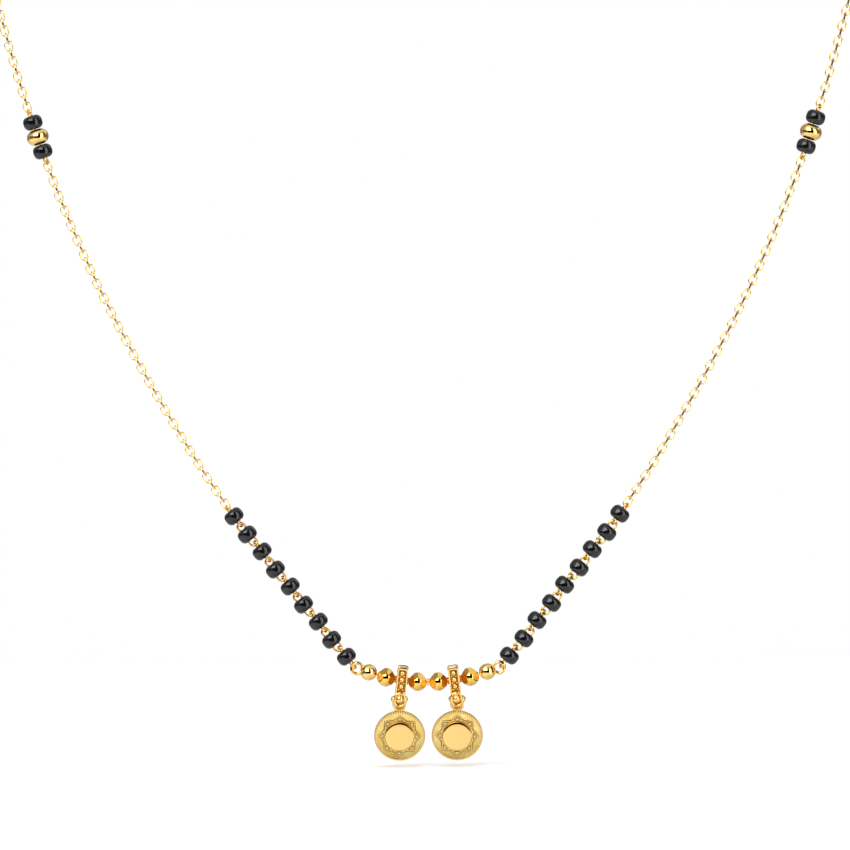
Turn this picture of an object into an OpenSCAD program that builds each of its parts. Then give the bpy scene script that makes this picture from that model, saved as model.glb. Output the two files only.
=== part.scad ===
// A mangalsutra: black glass beads and gold on a fine cable chain, with two sun medallions.
// +X is the wearer's left, +Y is towards the nape, +Z is up, and the origin is at the nape.

/* [Chain] */
// Diameter of the chain's wire
chain_wire = 0.23; // [0.18:0.01:0.25]
// Width of one oval link
link_w = 1.2; // [1.1:0.02:1.3]
// Free play between two links pulled tight
link_gap = 0.1; // [0.1:0.01:0.14]
// Links in each run between a station and the bead string, an odd number
lower_links = 49; // [47:2:51]
// Links above each station that the front view shows, an odd number
upper_links = 15; // [7:2:15]
// Distance from link to link above a station
upper_pitch = 1.035; // [1:0.005:1.05]
// Diameter of the plain tube that stands for the chain round the nape
tube_d = 1.2; // [1:0.1:1.4]

/* [Black beads] */
// Diameter of a black bead
bead_d = 2.5; // [2.3:0.05:2.6]
// Length of a black bead along its hole
bead_l = 1.8; // [1.7:0.02:1.86]
// Black beads in each string
bead_count = 9; // [3:2:9]
// Distance from bead to bead along a string
bead_pitch = 2.925; // [2.9:0.005:2.95]
// Slope of a string above the horizontal
string_slope = 51.7; // [45:0.1:58]
// How far each step turns to one side and back
string_zigzag = 2.4; // [0:0.1:3]
// Diameter of the wire through a bead
bead_wire = 0.24; // [0.2:0.01:0.25]

/* [Stations] */
// Diameter of the gold rondelle between two black beads
rondelle_d = 2.86; // [2.6:0.02:3]
// Length of the gold rondelle along its hole
rondelle_l = 2; // [1.8:0.02:2.06]
// Distance from the rondelle's middle to each black bead's middle
station_step = 1.98; // [1.96:0.01:2.1]
// Where the station's middle lies along the route from the first bead
station_at = 55.7; // [55:0.1:57]

/* [Centre] */
// Radius of the curve of the centre wire
centre_r = 23.5; // [20:0.5:30]
// Diameter of the centre wire
centre_wire = 0.26; // [0.2:0.01:0.3]
// Diameter of a faceted gold ball
facet_d = 2.44; // [2.2:0.02:2.5]
// Length of a faceted ball along its hole
facet_l = 2.24; // [2:0.02:2.26]
// Diameter of a polished end ball
end_ball_d = 2.16; // [2:0.02:2.2]
// Outer diameter of the ring beside an end ball
ring_d = 1.84; // [1.7:0.02:1.9]
// Diameter of that ring's thick wire
ring_wire = 0.42; // [0.36:0.02:0.44]

/* [Bails] */
// Width of a bail's decorated bar
bail_w = 1.42; // [1.3:0.02:1.5]
// Height of a bail's bar
bail_h = 3.75; // [3.5:0.05:3.8]
// Diameter of a large grain in the bail's channel
grain_d = 0.74; // [0.7:0.02:0.8]
// Lean of a bail's top towards the middle
bail_lean = 6.5; // [4:0.5:9]
// Forward tip of a bail's top, as it hangs
bail_tip = 9; // [0:1:12]
// Diameter of the ball on a bail's foot
foot_ball_d = 1.1; // [0.94:0.02:1.1]

/* [Pendants] */
// Diameter of a medallion over its reeded edge
disc_d = 6.7; // [6:0.05:6.8]
// Thickness of a medallion's plate
disc_t = 0.6; // [0.5:0.05:0.8]
// Teeth round the reeded edge
reeds = 64; // [32:4:72]
// Rays of the sun
rays = 8; // [6:1:10]
// Diameter of the raised polished boss in the middle
boss_d = 3.9; // [3.4:0.05:4]
// Backward lean of a hanging medallion
pendant_lean = 12; // [0:1:15]

/* [Hidden] */
$fn = 32;

GOLD = "goldenrod";
BLACK = "#16171b";

// The front hangs in one upright plane, this far before the nape and below it.
front_y = -72.5;
front_z = -112;

// The right half of the chain's route from the first black bead to the nape:
// across, back from the front plane, and up from the lowest point of the centre wire.
ROUTE = [
    [25.08, 0, 21.7],
    [30, 0, 29.1],
    [36.3, 0, 39.8],
    [42.1, 0, 50.9],
    [47.1, 0, 62.4],
    [51.2, 0, 74],
    [53.2, 0, 80.5],
    [55.4, 0, 88.7],
    [56.4, 0, 93],
    [58, 3, 99.5],
    [59.2, 10, 105],
    [59.5, 19.5, 108.4],
    [57.2, 34, 110.3],
    [50.2, 48.5, 111.2],
    [38.5, 61, 111.7],
    [21.5, 69.5, 112],
    [0, 72.5, 112],
];
route_steps = 16; // points on the curve between two of the route's points
last = len(ROUTE) - 1;

// The points before the first and after the last one, which set the curve's ends.
function route_point(i) =
    i < 0 ? 2 * ROUTE[0] - ROUTE[1] :
    i > last ? [-ROUTE[last - 1][0], ROUTE[last - 1][1], ROUTE[last - 1][2]] :
    ROUTE[i];

// One smooth stretch between points i and i + 1, at t from 0 to 1.
function smooth(i, t) =
    let (a = route_point(i - 1), b = route_point(i), c = route_point(i + 1), d = route_point(i + 2))
    (2 * b + (c - a) * t + (2 * a - 5 * b + 4 * c - d) * t * t
        + (3 * b - a - 3 * c + d) * t * t * t) / 2;

curve = [for (k = [0:last * route_steps]) smooth(min(floor(k / route_steps), last - 1),
    k / route_steps - min(floor(k / route_steps), last - 1))];
curve_s = [for (k = 0, s = 0; k < len(curve);
    s = s + (k < len(curve) - 1 ? norm(curve[k + 1] - curve[k]) : 0), k = k + 1) s];
curve_x = [for (k = [0:len(curve) - 1]) [curve_s[k], curve[k][0]]];
curve_y = [for (k = [0:len(curve) - 1]) [curve_s[k], curve[k][1]]];
curve_z = [for (k = [0:len(curve) - 1]) [curve_s[k], curve[k][2]]];
route_length = curve_s[len(curve) - 1];

// The point at a distance s along the route, and its direction there.
function along(s) = [lookup(s, curve_x), lookup(s, curve_y), lookup(s, curve_z)];
function heading(s) = let (d = along(s + 0.5) - along(s - 0.5)) d / norm(d);
function lean_at(s) = atan2(heading(s)[0], heading(s)[2]);

// Eyes at the ends of a bead's wire: how far each stands out of the bead's end.
hook_out = 0.86;
hook_out_station = 0.97;
hook_out_ring = 1.12;
eye_out = 0.97;
hook_w = 1.16;
eye_w = 1.25;
hook_roll = 25; // an open hook is seen a little from the side
eye_deep = 0.36; // how far an eye reaches into the bead
recess_r = 0.68;
recess_deep = 0.46;
bore_r = 0.25;
stem_r = 0.14;

// Where the end links lie, measured from the middle of the bead that they hang on.
string_link_at = bead_l / 2 + 0.23 + 0.797;
station_link_at = station_step + bead_l / 2 + 0.4 + 0.797;
lower_pitch = (station_at - station_link_at - string_link_at) / (lower_links - 1);
function link_l(pitch) = ceil(100 * (pitch + 2 * chain_wire + link_gap)) / 100;
upper_first = station_at + station_link_at;
upper_last = upper_first + (upper_links - 1) * upper_pitch;

// Middles of the black beads of a string, numbered from the chain down to the centre.
function string_step(a) = bead_pitch * [cos(a), 0, sin(a)];
function bead_place(i) = ROUTE[0]
    - ceil((i - 1) / 2) * string_step(string_slope + string_zigzag)
    - floor((i - 1) / 2) * string_step(string_slope - string_zigzag);

// Angles round the centre wire's curve of what is threaded on it.
function centre_angle(s) = s / centre_r * 180 / PI;
inner_ball_at = centre_angle(1.34);
bail_at = centre_angle(3.42);
outer_ball_at = centre_angle(5.5);
end_ball_at = centre_angle(7.84);
ring_from_ball = 1.6;

// The pin that a medallion swings on, below the middle of the bail.
pin_below = 2.53;
pin_r = 0.22;
pin_bore_r = 0.27;
knuckle_r = 0.46;
knuckle_half = 0.4;
tongue_down = 0.5;
barrel_r = 0.48;
barrel_from = 0.57;
barrel_end = 1.11;
pin_x = centre_r * sin(bail_at) + pin_below * cos(bail_tip) * sin(bail_lean) + 0.06;
pin_y = pin_below * sin(bail_tip);
pin_z = centre_r * (1 - cos(bail_at)) - pin_below * cos(bail_tip) * cos(bail_lean);

// The stirrup and plate of a medallion, down from its pin.
stirrup_w = 1.8;
stirrup_wire = 0.36;
stirrup_below = 0.8;
disc_below = 4.85;
disc_back = 0.32;
rim_up = 0.12;
ray_up = 0.12;
boss_up = 0.5;
boss_bevel = 0.14;
rim_w = 0.24;
ray_root = 2.05;
ray_tip = 2.86;
ray_half = 0.62;

module on_side(side) {
    if (side < 0) mirror([1, 0, 0]) children();
    else children();
}

module in_front(p) {
    translate([p[0], front_y + p[1], front_z + p[2]]) children();
}

// A round wire bent to an oval, standing in the XZ plane with its long way up Z.
module oval_ring(w, l, wire) {
    leg = l - w;
    rotate([90, 0, 0]) {
        if (leg < 0.01)
            rotate_extrude() translate([(w - wire) / 2, 0]) circle(d = wire);
        else {
            for (turn = [0, 180])
                rotate([0, 0, turn]) translate([0, leg / 2, 0])
                    rotate_extrude(angle = 180) translate([(w - wire) / 2, 0]) circle(d = wire);
            for (x = [-1, 1])
                translate([x * (w - wire) / 2, 0, 0]) rotate([90, 0, 0])
                    cylinder(d = wire, h = leg, center = true);
        }
    }
}

// Half of the section of a bead with rounded shoulders, for turning round its hole.
module shoulder_profile(r, half_l, corner) {
    translate([0, -half_l]) square([r - corner, 2 * half_l]);
    if (half_l > corner)
        translate([0, corner - half_l]) square([r, 2 * (half_l - corner)]);
    for (y = [-1, 1])
        translate([r - corner, y * (half_l - corner)]) circle(r = corner);
}

// A black glass bead, drilled, with its hole widened at both ends for the wire's eyes.
module black_bead() {
    color(BLACK) rotate_extrude() difference() {
        shoulder_profile(bead_d / 2, bead_l / 2, 0.72);
        translate([-1, -bead_l]) square([1 + bore_r, 2 * bead_l]);
        for (y = [-1, 1])
            translate([-1, y * bead_l / 2 - recess_deep]) square([1 + recess_r, 2 * recess_deep]);
        translate([-2, -bead_l]) square([2, 2 * bead_l]);
    }
}

// A wire with a stem of the given half length, and an eye or a hook at each end.
module stem(half) {
    cylinder(r = stem_r, h = 2 * half, center = true);
}

module hook(face, out) {
    l = out + eye_deep;
    translate([0, 0, face + out - l / 2]) rotate([0, 0, 90 - hook_roll]) oval_ring(hook_w, l, bead_wire);
}

module eye(face) {
    translate([0, 0, face + eye_out - eye_w / 2]) oval_ring(eye_w, eye_w, bead_wire);
}

module bead_wires(side) {
    face = bead_l / 2;
    color(GOLD) on_side(side) for (i = [1:bead_count])
        in_front(bead_place(i)) rotate([0, 90 - string_slope, 0]) {
            stem(face - eye_deep + bead_wire / 2);
            if (i % 2 == 0)
                for (turn = [0, 180]) rotate([0, turn, 0]) eye(face);
            else {
                hook(face, hook_out);
                rotate([0, 180, 0]) hook(face, i == bead_count ? hook_out_ring : hook_out);
            }
        }
}

module string_bead(side, i) {
    on_side(side) in_front(bead_place(i)) rotate([0, 90 - string_slope, 0]) black_bead();
}

module at_station(side) {
    on_side(side) in_front(along(station_at)) rotate([0, lean_at(station_at), 0]) children();
}

module station_black(side, up) {
    at_station(side) translate([0, 0, up * station_step]) black_bead();
}

module station_rondelle(side) {
    color(GOLD) at_station(side) rotate_extrude() difference() {
        shoulder_profile(rondelle_d / 2, rondelle_l / 2, 0.98);
        translate([-2, -rondelle_l]) square([2 + bore_r, 2 * rondelle_l]);
    }
}

module station_wire(side) {
    face = station_step + bead_l / 2;
    color(GOLD) at_station(side) {
        stem(face - eye_deep + bead_wire / 2);
        hook(face, hook_out_station);
        rotate([0, 180, 0]) hook(face, hook_out_station);
    }
}

// Places a child on the centre wire, with Z up across the wire and X along it.
module on_centre_wire(angle) {
    in_front([centre_r * sin(angle), 0, centre_r * (1 - cos(angle))]) rotate([0, -angle, 0]) children();
}

// The curved wire with a polished ball and a thick ring soldered to each end.
module centre_strand() {
    color(GOLD) {
        in_front([0, 0, centre_r]) rotate([90, 0, 0]) rotate([0, 0, -90 - end_ball_at])
            rotate_extrude(angle = 2 * end_ball_at) translate([centre_r, 0]) circle(d = centre_wire);
        for (side = [-1, 1]) on_side(side) on_centre_wire(end_ball_at) {
            rotate([90, 0, 0]) rotate([0, 0, 90]) sphere(d = end_ball_d);
            translate([ring_from_ball, 0, 0]) oval_ring(ring_d, ring_d, ring_wire);
        }
    }
}

module centre_washer() {
    color(GOLD) in_front([0, 0, 0]) rotate([0, 90, 0]) difference() {
        cylinder(r = 0.45, h = 0.22, center = true);
        cylinder(r = 0.2, h = 1, center = true);
    }
}

// A flat cut on a ball, facing up after a turn round the hole and a tilt towards one end.
module flat_cut(turn, tilt, deep) {
    rotate([turn, 0, 0]) rotate([0, tilt, 0]) translate([0, 0, facet_d / 2 - deep]) cylinder(r = 1.1, h = 1);
}

// A gold ball with flat cuts round its hole: pairs that meet, shallow ones below, and pairs with
// polished ball between.
module faceted_ball(side, angle) {
    color(GOLD) on_side(side) on_centre_wire(angle) difference() {
        sphere(d = facet_d);
        rotate([0, 90, 0]) cylinder(r = 0.2, h = 2 * facet_d, center = true);
        for (end = [-1, 1])
            translate([end * (facet_l / 2 + 1), 0, 0]) rotate([0, 90, 0]) cylinder(r = 2, h = 2, center = true);
        for (way = [-1, 1]) {
            for (turn = [42, 282]) flat_cut(turn, 29 * way, 0.21);
            flat_cut(162, 29 * way, 0.08);
            for (turn = [102, 222, 342]) flat_cut(turn, 49 * way, 0.18);
        }
    }
}

module rounded_plate(w, h, t, corner) {
    rotate([90, 0, 0]) linear_extrude(height = t, center = true) {
        square([w - 2 * corner, h], center = true);
        square([w, h - 2 * corner], center = true);
        for (x = [-1, 1], y = [-1, 1])
            translate([x * (w / 2 - corner), y * (h / 2 - corner)]) circle(r = corner);
    }
}

// A bail: a bar with grains in a channel, a sleeve for the wire, and a foot with a knuckle.
module bail(side) {
    bar_front = -0.98;
    bar_t = 1.86;
    channel_w = 0.98;
    channel_h = 2.9;
    channel_deep = 0.34;
    grain_top = 1.03;
    grain_step = 0.885;
    sleeve_r = 0.43;
    sleeve_half = 0.88;
    wire_bore_r = 0.22;
    collar_r = 0.7;
    collar_wire = 0.26;
    foot_front = -0.8;
    foot_up = 0.1;
    foot_ball_up = 0.08;
    wire_x = centre_r * sin(bail_at);
    wire_z = centre_r * (1 - cos(bail_at));
    color(GOLD) on_side(side) difference() {
        union() {
            in_front([wire_x, 0, wire_z]) rotate([0, -bail_lean, 0]) rotate([bail_tip, 0, 0]) {
                difference() {
                    translate([0, bar_front + bar_t / 2, 0]) rounded_plate(bail_w, bail_h, bar_t, 0.34);
                    translate([0, bar_front, 0])
                        rounded_plate(channel_w, channel_h, 2 * channel_deep, 0.3);
                }
                for (k = [0:2])
                    translate([0, bar_front + channel_deep - 0.05, grain_top - k * grain_step])
                        rotate([90, 0, 0]) sphere(d = grain_d);
                translate([0, foot_front, foot_up - pin_below]) rotate([90, 0, 0]) {
                    rotate_extrude() translate([collar_r, 0]) circle(d = collar_wire);
                    translate([0, foot_ball_up, 0]) sphere(d = foot_ball_d);
                    translate([0, 0, foot_front]) cylinder(r = 0.34, h = -foot_front);
                    translate([0, 0, -0.24]) cylinder(r = 0.66, h = 0.22);
                }
                translate([0, -0.1, -bail_h / 2]) cube([0.6, 0.7, 0.9], center = true);
            }
            on_centre_wire(bail_at) rotate([0, 90, 0]) cylinder(r = sleeve_r, h = 2 * sleeve_half, center = true);
            for (down = [0, tongue_down])
                in_front([pin_x, pin_y, pin_z - down]) rotate([0, 90, 0])
                    cylinder(r = knuckle_r, h = 2 * knuckle_half, center = true);
        }
        on_centre_wire(bail_at) rotate([0, 90, 0]) cylinder(r = wire_bore_r, h = 4, center = true);
        in_front([pin_x, pin_y, pin_z]) rotate([0, 90, 0]) cylinder(r = pin_bore_r, h = 2, center = true);
    }
}

module ray(half, root, tip, up) {
    linear_extrude(height = up) polygon([[-half, root], [half, root], [0, tip]]);
}

// The reeded outline of a medallion: a tooth and a notch for each reed.
module reeded_outline() {
    notch = 0.07;
    polygon([for (k = [0:2 * reeds - 1])
        (disc_d / 2 - (k % 2) * notch) * [cos(k * 180 / reeds), sin(k * 180 / reeds)]]);
}

// The pin and the rounded barrels at its ends, turned in one piece.
module pin_and_barrels() {
    rotate([0, 90, 0]) rotate_extrude() difference() {
        shoulder_profile(barrel_r, barrel_end, 0.42);
        translate([-1, -2]) square([1, 4]);
        translate([pin_r, -barrel_from]) square([1, 2 * barrel_from]);
    }
}

// A medallion's plate, face up: a reeded edge round a sunk field with rays and a boss.
module sun_disc() {
    difference() {
        linear_extrude(height = disc_t + rim_up) reeded_outline();
        translate([0, 0, disc_t]) cylinder(r = disc_d / 2 - rim_w, h = 1);
    }
    for (k = [0:rays - 1]) rotate([0, 0, k * 360 / rays]) translate([0, 0, disc_t - 0.05]) {
        ray(ray_half, ray_root - 0.2, ray_tip, ray_up + 0.05);
        ray(ray_half * 0.5, ray_root - 0.1, ray_tip - 0.26, 2 * ray_up + 0.05);
    }
    translate([0, 0, disc_t - 0.1]) rotate([0, 0, 180 / rays]) rotate_extrude() polygon([
        [0, 0],
        [boss_d / 2, 0],
        [boss_d / 2, boss_up - boss_bevel + 0.1],
        [boss_d / 2 - boss_bevel, boss_up + 0.1],
        [0, boss_up + 0.1],
    ]);
}

// A sun medallion with its stirrup and hinge pin, all soldered together.
module pendant(side) {
    bend_r = (stirrup_w - stirrup_wire) / 2;
    color(GOLD) on_side(side) in_front([pin_x, pin_y, pin_z]) rotate([pendant_lean, 0, 0]) {
        pin_and_barrels();
        for (x = [-1, 1])
            translate([x * bend_r, 0, -stirrup_below]) cylinder(d = stirrup_wire, h = stirrup_below);
        translate([0, 0, -stirrup_below]) rotate([90, 0, 0]) rotate([0, 0, 180])
            rotate_extrude(angle = 180) translate([bend_r, 0]) circle(d = stirrup_wire);
        translate([0, disc_back, -disc_below]) rotate([90, 0, 0]) sun_disc();
    }
}

// A run of links that lie in the front plane, each a quarter turn from the next.
module front_chain(side, first, pitch, count) {
    color(GOLD) on_side(side) for (i = [0:count - 1]) {
        s = first + i * pitch;
        in_front([along(s)[0], 0, along(s)[2]]) rotate([0, lean_at(s), 0]) rotate([0, 0, i % 2 * 90])
            oval_ring(link_w, link_l(pitch), chain_wire);
    }
}

// The clasp at the nape: a plain rounded barrel with an eye at each end.
clasp_half = 3.2;
clasp_r = 1.2;
clasp_eye_d = 1.7;
clasp_eye_wire = 0.34;
clasp_reach = clasp_half + clasp_eye_d - clasp_eye_wire;

module clasp() {
    color(GOLD) {
        rotate([0, 90, 0]) rotate_extrude() difference() {
            shoulder_profile(clasp_r, clasp_half, 0.8);
            translate([-2, -2 * clasp_half]) square([2, 4 * clasp_half]);
        }
        for (x = [-1, 1])
            translate([x * (clasp_half + clasp_eye_d / 2 - clasp_eye_wire), 0, 0])
                oval_ring(clasp_eye_d, clasp_eye_d, clasp_eye_wire);
    }
}

// The chain's hidden stretch as a plain tube, swept along the route with eight sides.
tube_sides = 8;
tube_rings = 38;
tube_from = upper_last + link_l(upper_pitch) / 2 + 0.2;
tube_to = route_length - clasp_reach - 0.2;

function tube_ring(s) =
    let (p = along(s), d = heading(s), out = p - [0, 18, p[2]],
        u = cross(d, out) / norm(cross(d, out)), v = cross(u, d))
    [for (k = [0:tube_sides - 1]) p + tube_d / 2 * (cos(k * 360 / tube_sides) * u + sin(k * 360 / tube_sides) * v)];

module chain_back(side) {
    points = [for (k = [0:tube_rings - 1])
        each tube_ring(tube_from + k * (tube_to - tube_from) / (tube_rings - 1))];
    end = (tube_rings - 1) * tube_sides;
    faces = concat(
        [[for (k = [0:tube_sides - 1]) k]],
        [for (j = [0:tube_rings - 2], k = [0:tube_sides - 1])
            let (n = (k + 1) % tube_sides, a = j * tube_sides)
            [a + k, a + tube_sides + k, a + tube_sides + n, a + n]],
        [[for (k = [tube_sides - 1:-1:0]) end + k]]
    );
    color(GOLD) on_side(side) in_front([0, 0, 0]) polyhedron(points = points, faces = faces, convexity = 4);
}

for (i = [1:bead_count]) {
    string_bead(1, i);
    string_bead(-1, i);
}
bead_wires(1);  // bead_wires_right
bead_wires(-1);  // bead_wires_left
station_black(1, 1);  // station_black_upper_right
station_black(-1, 1);  // station_black_upper_left
station_black(1, -1);  // station_black_lower_right
station_black(-1, -1);  // station_black_lower_left
station_rondelle(1);  // station_rondelle_right
station_rondelle(-1);  // station_rondelle_left
station_wire(1);  // station_wire_right
station_wire(-1);  // station_wire_left
centre_strand();
centre_washer();
faceted_ball(1, inner_ball_at);  // faceted_ball_inner_right
faceted_ball(-1, inner_ball_at);  // faceted_ball_inner_left
faceted_ball(1, outer_ball_at);  // faceted_ball_outer_right
faceted_ball(-1, outer_ball_at);  // faceted_ball_outer_left
bail(1);  // bail_right
bail(-1);  // bail_left
pendant(1);  // pendant_right
pendant(-1);  // pendant_left
front_chain(1, string_link_at, lower_pitch, lower_links);  // chain_lower_right
front_chain(-1, string_link_at, lower_pitch, lower_links);  // chain_lower_left
front_chain(1, upper_first, upper_pitch, upper_links);  // chain_upper_right
front_chain(-1, upper_first, upper_pitch, upper_links);  // chain_upper_left
chain_back(1);  // chain_back_right
chain_back(-1);  // chain_back_left
clasp();
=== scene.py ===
# A mangalsutra hung over a white table: black glass beads and gold on a fine cable chain, with two
# sun medallions. Shapes are worked out in millimetres and made metres when a piece is finished.
import math
import bmesh
import bpy
from mathutils import Matrix, Vector


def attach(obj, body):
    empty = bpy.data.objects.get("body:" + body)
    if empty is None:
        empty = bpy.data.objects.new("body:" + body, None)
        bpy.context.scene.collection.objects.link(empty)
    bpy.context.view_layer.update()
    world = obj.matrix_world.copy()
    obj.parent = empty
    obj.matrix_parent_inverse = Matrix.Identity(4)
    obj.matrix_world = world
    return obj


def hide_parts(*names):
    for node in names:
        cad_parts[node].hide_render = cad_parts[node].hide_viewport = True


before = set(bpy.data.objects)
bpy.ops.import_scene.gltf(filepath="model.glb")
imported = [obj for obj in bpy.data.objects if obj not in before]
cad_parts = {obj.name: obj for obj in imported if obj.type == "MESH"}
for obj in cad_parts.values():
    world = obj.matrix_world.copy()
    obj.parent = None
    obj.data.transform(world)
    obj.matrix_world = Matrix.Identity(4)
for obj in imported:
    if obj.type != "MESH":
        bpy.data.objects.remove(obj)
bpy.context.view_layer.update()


# ---- The view ----
# The picture is taken from straight in front with a long lens, so that near and far links look the
# same size. The necklace leans 0.4 degrees in it.
lens_from_front = 1.5
picture_width = 0.1105
view_data = bpy.data.cameras.new("long_lens")
view_data.sensor_width = 36
view_data.lens = view_data.sensor_width * lens_from_front / picture_width
view_data.clip_end = 40
view = bpy.data.objects.new("long_lens", view_data)
view.location = (-0.00017, -0.0725 - lens_from_front, -0.0786)
view.rotation_euler = (math.radians(90), math.radians(0.39), 0)
bpy.context.collection.objects.link(view)
bpy.context.scene.camera = view
bpy.context.scene.view_settings.view_transform = "Standard"


# ---- The table ----
# A matt white table just under the medallions. A large soft panel lights it from high up behind the
# necklace, so that a faint shadow falls towards the lens.
def linear(hex_colour):
    """A colour written as sRGB hex, in the linear values that a shader takes."""
    parts = [int(hex_colour[k:k + 2], 16) / 255 for k in (1, 3, 5)]
    return [p / 12.92 if p <= 0.04045 else ((p + 0.055) / 1.055) ** 2.4 for p in parts] + [1]


def add_node(tree, kind, links=(), **settings):
    """Adds a shader node. Settings are its own or its inputs' values; links are (input, node, output)."""
    node = tree.nodes.new(kind)
    for name, value in settings.items():
        if hasattr(node, name):
            setattr(node, name, value)
        else:
            node.inputs[name.replace("_", " ")].default_value = value
    for name, other, output in links:
        tree.links.new(other.outputs[output], node.inputs[name])
    return node


def new_material(name):
    """An empty material and its node tree."""
    material = bpy.data.materials.new(name)
    material.use_nodes = True
    material.node_tree.nodes.clear()
    return material, material.node_tree


# Matt white acrylic, cast: it scatters nearly all the light, with a tooth too fine to see.
acrylic, tree = new_material("matt_white_acrylic")
tooth = add_node(tree, "ShaderNodeTexNoise", Scale=2000.0, Detail=3.0)
tone = add_node(tree, "ShaderNodeMapRange", [("Value", tooth, "Fac")], To_Min=0.985, To_Max=1.0)
white = add_node(tree, "ShaderNodeHueSaturation", [("Value", tone, "Result")], Color=linear("#F1F1F2"))
matt = add_node(tree, "ShaderNodeBsdfPrincipled", [("Base Color", white, "Color")], Roughness=0.9)
add_node(tree, "ShaderNodeOutputMaterial", [("Surface", matt, "BSDF")])

bm = bmesh.new()
bmesh.ops.create_grid(bm, x_segments=1, y_segments=1, size=0.7)
bmesh.ops.translate(bm, vec=(0, -0.1, -0.1229), verts=bm.verts)
table_mesh = bpy.data.meshes.new("table")
bm.to_mesh(table_mesh)
bm.free()
table_mesh.materials.append(acrylic)
table = bpy.data.objects.new("table", table_mesh)
table.visible_glossy = table.visible_shadow = False
bpy.context.collection.objects.link(table)

panel_data = bpy.data.lights.new("soft_panel", "SUN")
panel_data.energy = 1.4
panel_data.angle = math.radians(24)
panel = bpy.data.objects.new("soft_panel", panel_data)
panel.rotation_euler = (math.radians(-35), 0, 0)
panel.visible_glossy = False
bpy.context.collection.objects.link(panel)


# ---- The light ----
# What the gold mirrors is painted round the necklace as it hangs in the studio, by the angle to the
# right of the lens and the angle above it: a pale room and floor, a window above the lens, a black
# card under and beside the window, a strip light on the right, and dark screens at both sides.
room = bpy.data.worlds.new("pale_studio")
room.use_nodes = True
bpy.context.scene.world = room
tree = room.node_tree
tree.nodes.clear()
way = add_node(tree, "ShaderNodeTexCoord")
parts = add_node(tree, "ShaderNodeSeparateXYZ", [("Vector", way, "Generated")])
near = add_node(tree, "ShaderNodeMath", [(1, parts, "Y")], operation="SUBTRACT", Value=0.0)
across = add_node(tree, "ShaderNodeMath", [(0, parts, "X"), (1, near, "Value")], operation="ARCTAN2")
up = add_node(tree, "ShaderNodeMath", [(0, parts, "Z")], operation="ARCSINE")


def paint(under, left, right, low, high, brightness, edge):
    """Paints a soft-edged patch, between two angles across and two angles up, over what is there."""
    cover = None
    for angle, start, stop in ((across, left, right), (up, low, high)):
        for limit, half in ((start, edge / 2), (stop, -edge / 2)):
            side = add_node(tree, "ShaderNodeMapRange", [("Value", angle, 0)],
                            interpolation_type="SMOOTHSTEP",
                            From_Min=math.radians(limit - half), From_Max=math.radians(limit + half))
            if cover:
                side = add_node(tree, "ShaderNodeMath", [(0, cover, 0), (1, side, 0)], operation="MULTIPLY")
            cover = side
    return add_node(tree, "ShaderNodeMix", [("Factor", cover, 0), ("A", under, 0)], B=brightness)


studio = add_node(tree, "ShaderNodeMapRange", [("Value", up, 0)],
                  From_Min=-0.2, From_Max=1.2, To_Min=0.6, To_Max=0.85)
# Left, right, low and high in degrees, brightness, and the width of the soft edge.
for patch in [
    (-200, 200, -100, -11, 1.04, 2),     # the white floor
    (-200, 200, -100, -55, 0.8, 30),     # the floor right under the necklace
    (-100, 100, -19, -11, 0.88, 4),      # the floor's far end
    (-200, -100, -60, -11, 0.72, 14),    # the floor behind, on the left
    (100, 200, -60, -11, 0.72, 14),      # the floor behind, on the right
    (-200, -110, -11, 80, 0.5, 10),      # the dim wall behind, on the left
    (140, 200, -11, 80, 0.5, 10),        # the dim wall behind, on the right
    (-200, -150, 8, 32, 0.9, 6),         # a pale board on that wall
    (150, 200, 8, 32, 0.9, 6),           # the same board's other half
    (-200, -82, -16, 16, 0.25, 6),       # a low dark screen, left and behind
    (98, 200, -16, 20, 0.25, 6),         # a low dark screen, right and behind
    (-145, -88, 20, 78, 0.33, 8),        # a grey board high on the left
    (98, 145, 24, 78, 0.95, 8),          # a pale board high on the right
    (-70, 4, 48, 80, 1.15, 6),           # the bright ceiling over the window
    (-90, -34, -14, 15, 0.12, 8),        # the black card's far end, where light grazes it
    (-36, 29, -15, 16, 0, 2),            # the black card under the window
    (-1, 29, 15, 55, 0, 2),              # the black card beside the window
    (61, 100, -10, 50, 0.15, 2),         # a dark screen behind the strip light
    (30, 62, -24, 40, 2.6, 2),           # the strip light
    (-52, 0, 15, 46, 4.5, 2),            # the window
]:
    studio = paint(studio, *patch)
# The room is a little brighter on the left.
leftward = add_node(tree, "ShaderNodeMapRange", [("Value", across, 0)],
                    From_Min=-0.5, From_Max=0.5, To_Min=1.12, To_Max=0.93)
studio = add_node(tree, "ShaderNodeMath", [(0, studio, 0), (1, leftward, 0)], operation="MULTIPLY")
dim = add_node(tree, "ShaderNodeBackground", [("Strength", studio, 0)], Color=linear("#FFFFFF"))
plain = add_node(tree, "ShaderNodeBackground", Color=linear("#FFFFFF"), Strength=1.0)
seen = add_node(tree, "ShaderNodeLightPath")
both = add_node(tree, "ShaderNodeMixShader", [("Fac", seen, "Is Camera Ray")])
tree.links.new(dim.outputs[0], both.inputs[1])
tree.links.new(plain.outputs[0], both.inputs[2])
add_node(tree, "ShaderNodeOutputWorld", [("Surface", both, "Shader")])


# ---- The black beads ----
# Nine short glass beads on each side and two beside each gold rondelle, pressed in black glass,
# drilled, and fire-polished. The hole is wide at its ends, where the wire's eyes reach in.
def at(x, y, z):
    """A shift, in millimetres."""
    return Matrix.Translation((x, y, z))


def about(axis, degrees):
    """A turn about an axis."""
    return Matrix.Rotation(math.radians(degrees), 4, axis)


front = at(0, -72.5, -112)  # the lowest point of the centre wire; the front hangs in one upright plane
sides = {"right": 1, "left": -1}


def over_to(side):
    """The mirror that puts a right-hand place on the left, or leaves it."""
    return Matrix.Diagonal((side, 1, 1, 1))


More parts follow.
